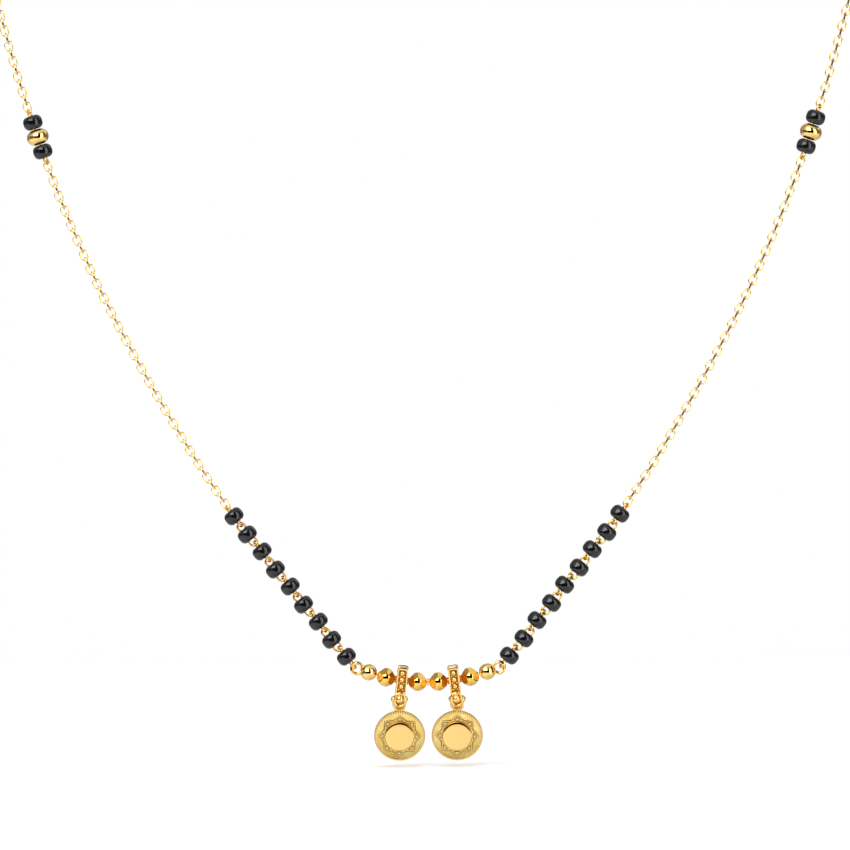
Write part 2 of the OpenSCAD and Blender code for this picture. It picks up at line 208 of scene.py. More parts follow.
def lathe(bm, section, steps, closed=False):
    """Turns a section of (radius, height) points round Z."""
    verts = [bm.verts.new((r, 0, z)) for r, z in section]
    edges = [bm.edges.new(pair) for pair in zip(verts, verts[1:])]
    if closed:
        edges.append(bm.edges.new((verts[-1], verts[0])))
    bmesh.ops.spin(bm, geom=verts + edges, cent=(0, 0, 0), axis=(0, 0, 1), angle=2 * math.pi,
                   steps=steps, use_merge=True)


def as_shape(bm, name, crease=35):
    """Closes and smooths a finished shape, keeps edges sharper than the crease, and stores it."""
    bmesh.ops.remove_doubles(bm, verts=bm.verts, dist=1e-4)
    bmesh.ops.recalc_face_normals(bm, faces=bm.faces)
    for face in bm.faces:
        face.smooth = True
    for edge in bm.edges:
        edge.smooth = len(edge.link_faces) != 2 or edge.calc_face_angle() < math.radians(crease)
    shape = bpy.data.meshes.new(name)
    bm.to_mesh(shape)
    bm.free()
    return shape


def set_in(bm, shape, place):
    """Puts a copy of a shape into a piece. A mirrored copy has its faces turned out again."""
    old_verts, old_faces = len(bm.verts), len(bm.faces)
    bm.from_mesh(shape)
    bm.verts.ensure_lookup_table()
    bm.faces.ensure_lookup_table()
    bmesh.ops.transform(bm, matrix=place, verts=bm.verts[old_verts:])
    if place.determinant() < 0:
        bmesh.ops.reverse_faces(bm, faces=bm.faces[old_faces:])


def new_piece(name, bm, finishes, slot, body, *nodes):
    """Makes a piece from millimetres, which rides on a body and stands for the named nodes."""
    bmesh.ops.scale(bm, vec=(0.001, 0.001, 0.001), verts=bm.verts)
    mesh = bpy.data.meshes.new(name)
    bm.to_mesh(mesh)
    bm.free()
    for finish in finishes:
        mesh.materials.append(finish)
    made = bpy.data.objects.new(name, mesh)
    bpy.context.collection.objects.link(made)
    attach(made, body)
    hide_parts(*nodes)


# Pressed black glass, fire-polished: a near-black body under a clear gloss. The surface swells a
# little every half millimetre or so, as pressed glass does, so no reflection is quite straight.
black_glass, tree = new_material("fire_polished_black_glass")
place = add_node(tree, "ShaderNodeTexCoord")
swell = add_node(tree, "ShaderNodeTexNoise", [("Vector", place, "Object")], Scale=1600.0, Detail=1.0)
cloud = add_node(tree, "ShaderNodeValToRGB", [("Fac", swell, "Fac")])
cloud.color_ramp.elements[0].color = linear("#060607")
cloud.color_ramp.elements[1].color = linear("#0D0D10")
skin = add_node(tree, "ShaderNodeBump", [("Height", swell, "Fac")], Strength=0.25, Distance=0.00003)
glass = add_node(tree, "ShaderNodeBsdfPrincipled",
                 [("Base Color", cloud, "Color"), ("Normal", skin, "Normal")], Roughness=0.1, IOR=1.55)
add_node(tree, "ShaderNodeOutputMaterial", [("Surface", glass, "BSDF")])


def shoulder(r, half, corner, steps, start=90):
    """The points of a turned piece's rounded shoulder, from its end face round to its side."""
    points = []
    for k in range(steps + 1):
        turn = math.radians(start - start * k / steps)
        points.append((r - corner + corner * math.cos(turn), half - corner + corner * math.sin(turn)))
    return points


bead_r, bead_half, bead_corner, bore_r = 1.25, 0.9, 0.72, 0.25
section = [(bore_r, 0.44), (0.66, 0.44), (0.665, 0.82), (0.69, 0.87)]
section += shoulder(bead_r, bead_half, bead_corner, 7, start=75) + [(bead_r + 0.012, 0.0)]
section += [(r, -z) for r, z in reversed(section[:-1])]
bm = bmesh.new()
lathe(bm, section, 40, closed=True)
bead_shape = as_shape(bm, "bead_shape", 50)

bead_pitch, string_slope, zigzag, top_bead = 2.925, 51.7, 2.4, (25.08, 21.7)
bead_turn = about("Y", 90 - string_slope)


def bead_place(i):
    """The middle of bead i of the right-hand string, counted down from the chain."""
    steps = [(math.ceil((i - 1) / 2), string_slope + zigzag), ((i - 1) // 2, string_slope - zigzag)]
    x, z = top_bead
    for count, slope in steps:
        x -= count * bead_pitch * math.cos(math.radians(slope))
        z -= count * bead_pitch * math.sin(math.radians(slope))
    return front @ at(x, 0, z) @ bead_turn


for side_name, side in sides.items():
    for i in range(1, 10):
        bm = bmesh.new()
        set_in(bm, bead_shape, over_to(side) @ bead_place(i))
        new_piece(f"glass_bead_{side_name}_{i}", bm, [black_glass], "black_glass", "root",
                  f"black_bead_{side_name}_{i}")


# ---- The wires through the beads ----
# Each bead sits on its own short gold wire. The odd beads' wires end in narrow hooks and the even
# ones' in round eyes, each closed round the next.
def bend_ring(bm, width, length, wire, around=20, round_wire=8):
    """A round wire bent to an oval in the XZ plane, its long way up Z."""
    first = about("Y", 180 / around) @ at((width - wire) / 2, 0, 0)
    ring = bmesh.ops.create_circle(bm, segments=round_wire, radius=wire / 2, matrix=first)
    edges = list({edge for vert in ring["verts"] for edge in vert.link_edges})
    bmesh.ops.spin(bm, geom=ring["verts"] + edges, cent=(0, 0, 0), axis=(0, 1, 0), angle=2 * math.pi,
                   steps=around, use_merge=True)
    for way in (-1, 1):
        half = [v for v in bm.verts if v.co.z * way > 0]
        bmesh.ops.translate(bm, vec=(0, 0, way * (length - width) / 2), verts=half)


# Drawn gold wire of 18 carat: warm yellow with a soft gloss, and faint lines along it from the
# drawing plate that are too fine to show, so a slight unevenness of the gloss stands for them.
gold_wire, tree = new_material("drawn_gold_wire")
place = add_node(tree, "ShaderNodeTexCoord")
drawn = add_node(tree, "ShaderNodeTexNoise", [("Vector", place, "Object")], Scale=5000.0, Detail=2.0)
gloss = add_node(tree, "ShaderNodeMapRange", [("Value", drawn, "Fac")], To_Min=0.1, To_Max=0.2)
metal = add_node(tree, "ShaderNodeBsdfPrincipled", [("Roughness", gloss, "Result")],
                 Base_Color=linear("#FBCC76"), Metallic=1.0)
add_node(tree, "ShaderNodeOutputMaterial", [("Surface", metal, "BSDF")])

# The wire is drawn a little thicker than the source's 0.24 mm, as the picture shows it, and the rings
# are as much larger as that needs.
wire_d, wire_more, stem_r = 0.29, 0.03, 0.14
hook_w, eye_w, reach_in = 1.16, 1.25, 0.36
hook_out, last_hook_out, eye_out = 0.86, 1.12, 0.97
hook_roll, eye_roll = 65, 0


def end_ring(bm, name, width, out, roll, face):
    """Adds the hook or eye that stands out of a bead's upper end face by out."""
    loop = bmesh.new()
    length = out + reach_in
    bend_ring(loop, width + wire_more, length + wire_more, wire_d)
    shape = as_shape(loop, name)
    set_in(bm, shape, at(0, 0, face + out - length / 2) @ about("Z", roll))
    bpy.data.meshes.remove(shape)


def bead_wire(name, width, up_out, down_out, roll, face):
    """A stem with a ring at each end, to set in the middle of what it holds."""
    bm = bmesh.new()
    half = face - reach_in + wire_d / 2
    bmesh.ops.create_cone(bm, segments=10, radius1=stem_r, radius2=stem_r, depth=2 * half)
    end_ring(bm, "up", width, up_out, roll, face)
    low = bmesh.new()
    end_ring(low, "down", width, down_out, roll, face)
    shape = as_shape(low, "low")
    set_in(bm, shape, about("Y", 180))
    return as_shape(bm, name, 60)


hooked = bead_wire("hooked_wire", hook_w, hook_out, hook_out, hook_roll, bead_half)
hooked_last = bead_wire("last_hooked_wire", hook_w, hook_out, last_hook_out, hook_roll, bead_half)
eyed = bead_wire("eyed_wire", eye_w, eye_out, eye_out, eye_roll, bead_half)
for side_name, side in sides.items():
    bm = bmesh.new()
    for i in range(1, 10):
        shape = eyed if i % 2 == 0 else hooked_last if i == 9 else hooked
        set_in(bm, shape, over_to(side) @ bead_place(i))
    new_piece(f"string_wires_{side_name}", bm, [gold_wire], "gold", "root", f"bead_wires_{side_name}")


# ---- The chain ----
# A fine cable chain of oval links, each a quarter turn from the next, cut from drawn wire and
# soldered shut. The route runs from the first bead up to the nape; the picture shows its first part.
route = [
    (25.08, 0, 21.7), (30, 0, 29.1), (36.3, 0, 39.8), (42.1, 0, 50.9), (47.1, 0, 62.4), (51.2, 0, 74),
    (53.2, 0, 80.5), (55.4, 0, 88.7), (56.4, 0, 93), (58, 3, 99.5), (59.2, 10, 105), (59.5, 19.5, 108.4),
    (57.2, 34, 110.3), (50.2, 48.5, 111.2), (38.5, 61, 111.7), (21.5, 69.5, 112), (0, 72.5, 112),
]
route = [Vector(p) for p in route]
ends = [2 * route[0] - route[1]] + route + [Vector((-route[-2].x, route[-2].y, route[-2].z))]
curve = []
for k in range(len(route) - 1):
    a, b, c, d = ends[k:k + 4]
    for j in range(16):
        t = j / 16
        curve.append((2 * b + (c - a) * t + (2 * a - 5 * b + 4 * c - d) * t * t
                      + (3 * b - a - 3 * c + d) * t ** 3) / 2)
curve.append(route[-1])
reach = [0]
for p, q in zip(curve, curve[1:]):
    reach.append(reach[-1] + (q - p).length)


def along(s):
    """The point at a distance along the route."""
    k = max(j for j in range(len(curve) - 1) if reach[j] <= s or j == 0)
    return curve[k].lerp(curve[k + 1], (s - reach[k]) / (reach[k + 1] - reach[k]))


def heading(s):
    """The route's direction there."""
    return (along(s + 0.5) - along(s - 0.5)).normalized()


link_w, link_l, chain_wire = 1.2, 1.6, 0.23
bm = bmesh.new()
bend_ring(bm, link_w, link_l, chain_wire, around=16, round_wire=6)
link_shape = as_shape(bm, "link_shape")

station_at = 55.7
station_step = 1.98
link_half = 0.797  # half a link, before its length is rounded up
string_room, station_room = 0.23, 0.4  # between a bead and the end of the link in its hook
string_link_at = bead_half + string_room + link_half
station_link_at = station_step + bead_half + station_room + link_half
lower_links, upper_links, back_links = 49, 15, 110
lower_pitch = (station_at - station_link_at - string_link_at) / (lower_links - 1)
upper_first, upper_pitch = station_at + station_link_at, 1.035


def front_link(s, i):
    """Where link i of a front run sits: in the upright plane, the even ones face-on."""
    lean = math.atan2(heading(s).x, heading(s).z)
    return (front @ at(along(s).x, 0, along(s).z) @ Matrix.Rotation(lean, 4, "Y")
            @ about("Z", i % 2 * 90))


for run, first, pitch, count in [("lower", string_link_at, lower_pitch, lower_links),
                                 ("upper", upper_first, upper_pitch, upper_links)]:
    places = [front_link(first + i * pitch, i) for i in range(count)]
    for side_name, side in sides.items():
        bm = bmesh.new()
        for place in places:
            set_in(bm, link_shape, over_to(side) @ place)
        new_piece(f"cable_{run}_{side_name}", bm, [gold_wire], "gold", "root", f"chain_{run}_{side_name}")


# ---- The chain round the neck ----
# The same links go on over the shoulder to the clasp, where the last one passes through its eye.
# The source holds this stretch as a plain tube.
upper_last = upper_first + (upper_links - 1) * upper_pitch
last_link_from_nape = 4.74
back_pitch = (reach[-1] - last_link_from_nape - upper_last) / back_links
flat_way = Vector((0, 1, 0))
places = []
for i in range(1, back_links + 1):
    s = upper_last + i * back_pitch
    way = heading(s)
    flat_way = (flat_way - flat_way.dot(way) * way).normalized()
    turn = Matrix((flat_way.cross(way), flat_way, way)).transposed().to_4x4()
    places.append(front @ Matrix.Translation(along(s)) @ turn @ about("Z", i % 2 * 90))
for side_name, side in sides.items():
    bm = bmesh.new()
    for place in places:
        set_in(bm, link_shape, over_to(side) @ place)
    new_piece(f"cable_back_{side_name}", bm, [gold_wire], "gold", "root", f"chain_back_{side_name}")


# ---- The clasp ----
# A plain barrel at the nape, turned and buffed, with a soldered eye at each end for the last link.
# Gold of 18 carat, buffed on a soft wheel: a mirror with faint hairlines about 0.04 mm apart, which
# show as a slight haze round the highlights.
polished_gold, tree = new_material("buffed_gold")
place = add_node(tree, "ShaderNodeTexCoord")
hairlines = add_node(tree, "ShaderNodeMapping", [("Vector", place, "Object")], Scale=(1.0, 6.0, 1.0))
haze = add_node(tree, "ShaderNodeTexNoise", [("Vector", hairlines, "Vector")], Scale=4000.0, Detail=3.0)
gloss = add_node(tree, "ShaderNodeMapRange", [("Value", haze, "Fac")], To_Min=0.03, To_Max=0.09)
skin = add_node(tree, "ShaderNodeBump", [("Height", haze, "Fac")], Strength=0.08, Distance=0.00001)
metal = add_node(tree, "ShaderNodeBsdfPrincipled",
                 [("Roughness", gloss, "Result"), ("Normal", skin, "Normal")],
                 Base_Color=linear("#FCD486"), Metallic=1.0)
add_node(tree, "ShaderNodeOutputMaterial", [("Surface", metal, "BSDF")])

clasp_half, clasp_r, clasp_corner, clasp_eye_at = 3.2, 1.2, 0.8, 3.71
section = [(0, clasp_half)] + shoulder(clasp_r, clasp_half, clasp_corner, 8)
section += [(clasp_r, 0.14), (clasp_r - 0.05, 0.09)]
section += [(r, -z) for r, z in reversed(section)]
barrel = bmesh.new()
lathe(barrel, section, 48)
barrel_shape = as_shape(barrel, "clasp_barrel")
loop = bmesh.new()
bend_ring(loop, 1.7, 1.7, 0.34, around=24, round_wire=10)
eye_shape = as_shape(loop, "clasp_eye")
bm = bmesh.new()
set_in(bm, barrel_shape, about("Y", 90))
for side in sides.values():
    set_in(bm, eye_shape, at(side * clasp_eye_at, 0, 0))
new_piece("barrel_clasp", bm, [polished_gold], "gold", "root", "clasp")


# ---- The stations ----
# A polished gold rondelle between two black beads on each side, all three on one gold wire that
# ends in a hook at both ends.
lean = math.atan2(heading(station_at).x, heading(station_at).z)
station = front @ at(along(station_at).x, 0, along(station_at).z) @ Matrix.Rotation(lean, 4, "Y")
rondelle_r, rondelle_half, rondelle_corner = 1.43, 1.0, 0.98
section = [(bore_r, rondelle_half)] + shoulder(rondelle_r, rondelle_half, rondelle_corner, 12)
section += [(r, -z) for r, z in reversed(section)]
bm = bmesh.new()
lathe(bm, section, 56, closed=True)
rondelle_shape = as_shape(bm, "rondelle_shape")
station_face = station_step + bead_half
station_wire_shape = bead_wire("station_wire_shape", hook_w, eye_out, eye_out, hook_roll, station_face)
for side_name, side in sides.items():
    for level, up in (("upper", 1), ("lower", -1)):
        bm = bmesh.new()
        set_in(bm, bead_shape, over_to(side) @ station @ at(0, 0, up * station_step))
        new_piece(f"glass_bead_{level}_{side_name}", bm, [black_glass], "black_glass", "root",
                  f"station_black_{level}_{side_name}")
    bm = bmesh.new()
    set_in(bm, rondelle_shape, over_to(side) @ station)
    new_piece(f"gold_rondelle_{side_name}", bm, [polished_gold], "gold", "root",
              f"station_rondelle_{side_name}")
    bm = bmesh.new()
    set_in(bm, station_wire_shape, over_to(side) @ station)
    new_piece(f"rondelle_wire_{side_name}", bm, [gold_wire], "gold", "root", f"station_wire_{side_name}")


# ---- The centre wire ----
# A stiff gold wire bent to a shallow curve, with a polished ball and a thick ring soldered
# to each end, and a thin bright washer in its middle.
centre_r, centre_wire, end_ball_at, end_ball_r, ring_from_ball = 23.5, 0.26, 7.84, 1.08, 1.6


def on_wire(s):
    """The place at a distance along the centre wire, with X along it and Z across it."""
    turn = s / centre_r
    return (front @ at(centre_r * math.sin(turn), 0, centre_r * (1 - math.cos(turn)))
            @ Matrix.Rotation(-turn, 4, "Y"))


bm = bmesh.new()
bmesh.ops.create_circle(bm, cap_ends=True, segments=12, radius=centre_wire / 2,
                        matrix=on_wire(-end_ball_at) @ about("Y", 90))
bmesh.ops.spin(bm, geom=list(bm.verts) + list(bm.edges) + list(bm.faces), axis=(0, -1, 0),
               cent=front @ Vector((0, 0, centre_r)), angle=2 * end_ball_at / centre_r, steps=32)
ball = bmesh.new()
bmesh.ops.create_uvsphere(ball, u_segments=56, v_segments=28, radius=end_ball_r)
ball_shape = as_shape(ball, "end_ball")
loop = bmesh.new()
bend_ring(loop, 1.88, 1.88, 0.47, around=32, round_wire=12)
thick_ring = as_shape(loop, "thick_ring")
for side in sides.values():
    set_in(bm, ball_shape, over_to(side) @ on_wire(end_ball_at) @ about("Y", 90))
    set_in(bm, thick_ring, over_to(side) @ on_wire(end_ball_at) @ at(ring_from_ball, 0, 0))
for face in bm.faces:
    face.smooth = True
bmesh.ops.recalc_face_normals(bm, faces=bm.faces)
new_piece("centre_wire_with_balls", bm, [polished_gold], "gold", "root", "centre_strand")

bm = bmesh.new()
section = [(0.2, -0.13), (0.42, -0.13), (0.47, -0.08), (0.47, 0.08), (0.42, 0.13), (0.2, 0.13)]
lathe(bm, section, 32, closed=True)
washer_shape = as_shape(bm, "washer_shape")
bm = bmesh.new()
set_in(bm, washer_shape, on_wire(0) @ about("Y", 90))
new_piece("bright_washer", bm, [polished_gold], "gold", "root", "centre_washer")


# ---- The faceted balls ----
# Four gold balls on the centre wire, diamond-cut: flat mirrors cut round the hole in pairs that
# meet, with small patches of the round ball left between them.
# Gold of 18 carat under a diamond tool, which leaves a truer mirror than buffing: only a trace of
# haze is left, and each cut shows one flat piece of the room.
diamond_cut, tree = new_material("diamond_cut_gold")
place = add_node(tree, "ShaderNodeTexCoord")
haze = add_node(tree, "ShaderNodeTexNoise", [("Vector", place, "Object")], Scale=3000.0, Detail=2.0)
gloss = add_node(tree, "ShaderNodeMapRange", [("Value", haze, "Fac")], To_Min=0.02, To_Max=0.06)
metal = add_node(tree, "ShaderNodeBsdfPrincipled", [("Roughness", gloss, "Result")],
                 Base_Color=linear("#FDCD6C"), Metallic=1.0)
add_node(tree, "ShaderNodeOutputMaterial", [("Surface", metal, "BSDF")])

facet_r, facet_half = 1.22, 1.165
ball = bmesh.new()
bmesh.ops.create_uvsphere(ball, u_segments=64, v_segments=40, radius=facet_r, matrix=about("Y", 90))
planes = []
# Each pair of cuts: its turn round the hole, its depth, and its tilt towards the two ends.
for turn, deep, tilt in [(42, 0.21, 29), (162, 0.08, 29), (282, 0.2, 29),
                         (102, 0.18, 49), (222, 0.18, 49), (342, 0.18, 49)]:
    for way in (-1, 1):
        planes.append((about("X", turn).to_3x3() @ about("Y", tilt * way).to_3x3() @ Vector((0, 0, 1)),
                       facet_r - deep))
planes += [(Vector((way, 0, 0)), facet_half) for way in (-1, 1)]
for normal, out in planes:
    bmesh.ops.bisect_plane(ball, geom=list(ball.verts) + list(ball.edges) + list(ball.faces), dist=1e-5,
                           plane_co=normal * out, plane_no=normal, clear_outer=True)
    rim = [edge for edge in ball.edges if edge.is_boundary]
    bmesh.ops.holes_fill(ball, edges=rim)
faceted_shape = as_shape(ball, "faceted_shape", 12)
for where, s in (("inner", 1.34), ("outer", 5.5)):
    for side_name, side in sides.items():
        bm = bmesh.new()
        set_in(bm, faceted_shape, over_to(side) @ on_wire(s))
        new_piece(f"diamond_cut_ball_{where}_{side_name}", bm, [diamond_cut], "gold", "root",
                  f"faceted_ball_{where}_{side_name}")


# ---- The bails ----
# A deep flat bar with a sunk channel of soldered grains, a short tube through it for the centre wire,
# and a foot with a ball in an oval collar, behind which a knuckle and a lug take the medallion's pin.
# Painted shade: gold coloured a dull orange-brown satin where shade and many-times-mirrored light darken
# it, in the channel, on the bar's sides and the tube, and in corners of the foot and medallion.
painted_shade_gold, tree = new_material("painted_shade_gold")
place = add_node(tree, "ShaderNodeTexCoord")
shade_mottle = add_node(tree, "ShaderNodeTexNoise", [("Vector", place, "Object")], Scale=2500.0, Detail=2.0)
brown = add_node(tree, "ShaderNodeValToRGB", [("Fac", shade_mottle, "Fac")])
brown.color_ramp.elements[0].color = linear("#AE7428")
brown.color_ramp.elements[1].color = linear("#D4983E")
metal = add_node(tree, "ShaderNodeBsdfPrincipled", [("Base Color", brown, "Color")],
                 Roughness=0.32, Metallic=1.0)
add_node(tree, "ShaderNodeOutputMaterial", [("Surface", metal, "BSDF")])

bail_w, bail_h, bar_front, bar_thick = 1.42, 3.75, -0.98, 1.86
channel_w, channel_h, channel_deep = 0.98, 2.9, 0.34
bail_at, bail_lean, bail_tip, pin_below = 3.42, math.radians(6.5), math.radians(9), 2.53
pin_off = 0.06  # how far the pin's middle stands outwards of the bar's middle line
bail_turn = bail_at / centre_r
wire_at = Vector((centre_r * math.sin(bail_turn), 0, centre_r * (1 - math.cos(bail_turn))))
bail_frame = (front @ Matrix.Translation(wire_at) @ Matrix.Rotation(-bail_lean, 4, "Y")
              @ Matrix.Rotation(bail_tip, 4, "X"))
pin_at = Vector((wire_at.x + pin_below * math.cos(bail_tip) * math.sin(bail_lean) + pin_off,
                 pin_below * math.sin(bail_tip),
                 wire_at.z - pin_below * math.cos(bail_tip) * math.cos(bail_lean)))


def kind_of(geom, kind):
    """The edges or the corners among what an operator made."""
    return [g for g in geom if isinstance(g, kind)]


bar = bmesh.new()
bmesh.ops.create_cube(bar, size=1, matrix=at(0, bar_front + bar_thick / 2, 0)
                      @ Matrix.Diagonal((bail_w, bar_thick, bail_h, 1)))
corners = [e for e in bar.edges if abs(e.verts[0].co.y - e.verts[1].co.y) > 0.5]
bmesh.ops.bevel(bar, geom=corners, offset=0.34, segments=6, affect="EDGES", profile=0.5, material=-1)
face_on = min(bar.faces, key=lambda f: f.calc_center_median().y)
bmesh.ops.inset_region(bar, faces=[face_on], thickness=(bail_w - channel_w) / 2, use_even_offset=True)
bmesh.ops.scale(bar, vec=(1, 1, channel_h / (bail_h - bail_w + channel_w)), verts=face_on.verts)
floor = bmesh.ops.extrude_face_region(bar, geom=[face_on])
bmesh.ops.translate(bar, vec=(0, channel_deep, 0), verts=kind_of(floor["geom"], bmesh.types.BMVert))
bmesh.ops.delete(bar, geom=[face_on], context="FACES_ONLY")
bmesh.ops.recalc_face_normals(bar, faces=bar.faces)


def sharp_edges(bm, low, high):
    """The sharp edges that lie wholly between two depths."""
    return [e for e in bm.edges if len(e.link_faces) == 2 and e.calc_face_angle() > 1
            and min(v.co.y for v in e.verts) > low and max(v.co.y for v in e.verts) < high]


bar_back = bar_front + bar_thick
bmesh.ops.bevel(bar, geom=sharp_edges(bar, bar_front - 1, bar_front + 0.01), offset=0.075, segments=3,
                affect="EDGES", profile=0.5, material=-1)
bmesh.ops.bevel(bar, geom=sharp_edges(bar, bar_back - 0.01, bar_back + 1), offset=0.12, segments=3,
                affect="EDGES", profile=0.5, material=-1)
# The sunk channel and the bar's sides take the second finish, in painted shade.
for face in bar.faces:
    middle = face.calc_center_median()
    over_channel = abs(middle.x) < channel_w / 2 + 0.01 and abs(middle.z) < channel_h / 2 + 0.01
    if over_channel and middle.y < bar_front + 0.5:
        face.material_index = 1 if middle.y > bar_front + 0.06 else 0
    elif abs(middle.x) > bail_w / 2 - 0.01:
        face.material_index = 1
bar_shape = as_shape(bar, "bail_bar")

grain = bmesh.new()
bmesh.ops.create_icosphere(grain, subdivisions=3, radius=1)
grain_shape = as_shape(grain, "grain")
tube = bmesh.new()
section = [(0.22, -0.92), (0.43, -0.92), (0.46, -0.89), (0.46, 0.89), (0.43, 0.92), (0.22, 0.92)]
lathe(tube, section, 36, closed=True)
# The tube is in painted shade.
for face in tube.faces:
    face.material_index = 1
sleeve_shape = as_shape(tube, "sleeve")
loop = bmesh.new()
bend_ring(loop, 1.58, 1.98, 0.27, around=40, round_wire=14)
collar_shape = as_shape(loop, "collar")
plate = bmesh.new()
lathe(plate, [(0, -0.5), (0.62, -0.5), (0.66, -0.54), (0.66, -0.66), (0.62, -0.7), (0, -0.7)], 40)
# The foot's plate is in painted shade.
for face in plate.faces:
    face.material_index = 1
plate_shape = as_shape(plate, "foot_plate")
post = bmesh.new()
lathe(post, [(0, -0.4), (0.42, -0.4), (0.46, -0.36), (0.46, 0.36), (0.42, 0.4), (0, 0.4)], 36)
knuckle_shape = as_shape(post, "knuckle")


def cut_plate(bm, radius, stirrup_bend, thick, cut_at, drop):
    """A round plate in the stirrup's plane, without what lies above (1) or below (-1) a straight cut."""
    bmesh.ops.create_circle(bm, cap_ends=True, segments=40, radius=radius,
                            matrix=at(0, thick / 2, -stirrup_bend) @ about("X", 90))
    bmesh.ops.bisect_plane(bm, geom=list(bm.verts) + list(bm.edges) + list(bm.faces),
                           plane_co=(0, 0, cut_at), plane_no=(0, 0, drop), clear_outer=True)
    return bm


def thicken(bm, thick):
    """Gives a flat plate its thickness, forwards."""
    grown = bmesh.ops.extrude_face_region(bm, geom=list(bm.faces))
    bmesh.ops.translate(bm, vec=(0, -thick, 0), verts=kind_of(grown["geom"], bmesh.types.BMVert))


stirrup_bend = 0.8  # how far the middle of the stirrup's bend lies below the pin
tongue_thick = 0.4
tongue = cut_plate(bmesh.new(), 0.5, stirrup_bend, tongue_thick, -1.05, -1)
top_half = [v for v in tongue.verts if v.co.z > -stirrup_bend + 0.01]
bmesh.ops.translate(tongue, vec=(0, 0, 0.55), verts=top_half)
thicken(tongue, tongue_thick)
bmesh.ops.recalc_face_normals(tongue, faces=tongue.faces)
bmesh.ops.bevel(tongue, geom=sharp_edges(tongue, -1, 1), offset=0.05, segments=3, affect="EDGES", profile=0.5,
                material=-1)
tongue_shape = as_shape(tongue, "tongue")
post = bmesh.new()
bmesh.ops.create_cone(post, segments=28, cap_ends=True, radius1=0.34, radius2=0.34, depth=0.76)
post_shape = as_shape(post, "foot_post")
neck = bmesh.new()
bmesh.ops.create_cube(neck, size=1, matrix=Matrix.Diagonal((0.6, 0.7, 0.9, 1)))
bmesh.ops.bevel(neck, geom=list(neck.edges), offset=0.08, segments=2, affect="EDGES", profile=0.5,
                material=-1)
neck_shape = as_shape(neck, "foot_neck")

grain_up, grain_step, grain_y = 1.03, 0.885, bar_front + 0.3
grain_r, small_grain_r, foot_ball_r = 0.36, 0.14, 0.56
for side_name, side in sides.items():
    bm = bmesh.new()
    turned, foot = over_to(side) @ bail_frame, over_to(side) @ bail_frame @ at(0, 0, -pin_below)
    set_in(bm, bar_shape, turned)
    for k in range(3):
        up = grain_up - grain_step * k
        set_in(bm, grain_shape, turned @ at(0, grain_y, up) @ Matrix.Scale(grain_r, 4))
        for x in (-0.3, 0.3):
            between = turned @ at(x, grain_y, up - grain_step / 2)
            set_in(bm, grain_shape, between @ Matrix.Scale(small_grain_r, 4))
    set_in(bm, collar_shape, foot @ at(0, -1.0, 0.12))
    set_in(bm, grain_shape, foot @ at(0, -0.86, 0.18) @ Matrix.Scale(foot_ball_r, 4))
    set_in(bm, plate_shape, foot @ at(0, 0, 0.1) @ about("X", -90))
    set_in(bm, post_shape, foot @ at(0, -0.38, 0) @ about("X", 90))
    set_in(bm, neck_shape, turned @ at(0, -0.1, -bail_h / 2))
    set_in(bm, sleeve_shape, over_to(side) @ on_wire(bail_at) @ about("Y", 90))
    set_in(bm, knuckle_shape, over_to(side) @ front @ Matrix.Translation(pin_at) @ about("Y", 90))
    set_in(bm, tongue_shape, over_to(side) @ front @ Matrix.Translation(pin_at))
    new_piece(f"grained_bail_{side_name}", bm, [polished_gold, painted_shade_gold], "gold", f"bail_{side_name}",
              f"bail_{side_name}")


# ---- The medallions ----
# A struck gold disc with a reeded edge, a sandblasted field, an eight-pointed sun in low relief and
# a raised mirror boss. A stirrup of thick wire soldered behind its top hangs on a pin in the bail's
# knuckle, and the pin's round ends stand out beside the foot.
# Struck gold blasted with fine grit: a pale satin with grains about 0.1 mm wide, drawn a little
# coarser than they are so that they show, in patches that took the blast unevenly.
blasted_gold, tree = new_material("sandblasted_gold")
place = add_node(tree, "ShaderNodeTexCoord")
grit = add_node(tree, "ShaderNodeTexNoise", [("Vector", place, "Object")],
                Scale=7000.0, Detail=3.0, Roughness=0.6)
blotch = add_node(tree, "ShaderNodeTexNoise", [("Vector", place, "Object")], Scale=900.0, Detail=2.0)
tint = add_node(tree, "ShaderNodeValToRGB", [("Fac", blotch, "Fac")])
tint.color_ramp.elements[0].position = 0.3
tint.color_ramp.elements[0].color = linear("#F4C96A")
tint.color_ramp.elements[1].position = 0.7
tint.color_ramp.elements[1].color = linear("#FFEA9A")
gloss = add_node(tree, "ShaderNodeMapRange", [("Value", grit, "Fac")], To_Min=0.24, To_Max=0.42)
skin = add_node(tree, "ShaderNodeBump", [("Height", grit, "Fac")], Strength=0.6, Distance=0.00004)
metal = add_node(tree, "ShaderNodeBsdfPrincipled",
                 [("Base Color", tint, "Color"), ("Roughness", gloss, "Result"), ("Normal", skin, "Normal")],
                 Metallic=1.0)
add_node(tree, "ShaderNodeOutputMaterial", [("Surface", metal, "BSDF")])

# Painted shade: gold coloured a dark olive-brown satin on the relief's sloping walls and between the
# teeth, where shade and dark reflections fall, while the high places stay bright; it draws every line.
painted_shade_lines_gold, tree = new_material("painted_shade_lines_gold")
place = add_node(tree, "ShaderNodeTexCoord")
shade_mottle = add_node(tree, "ShaderNodeTexNoise", [("Vector", place, "Object")], Scale=3000.0, Detail=2.0)
dark = add_node(tree, "ShaderNodeValToRGB", [("Fac", shade_mottle, "Fac")])
dark.color_ramp.elements[0].color = linear("#6A4614")
dark.color_ramp.elements[1].color = linear("#A27024")
metal = add_node(tree, "ShaderNodeBsdfPrincipled", [("Base Color", dark, "Color")],
                 Roughness=0.4, Metallic=1.0)
add_node(tree, "ShaderNodeOutputMaterial", [("Surface", metal, "BSDF")])

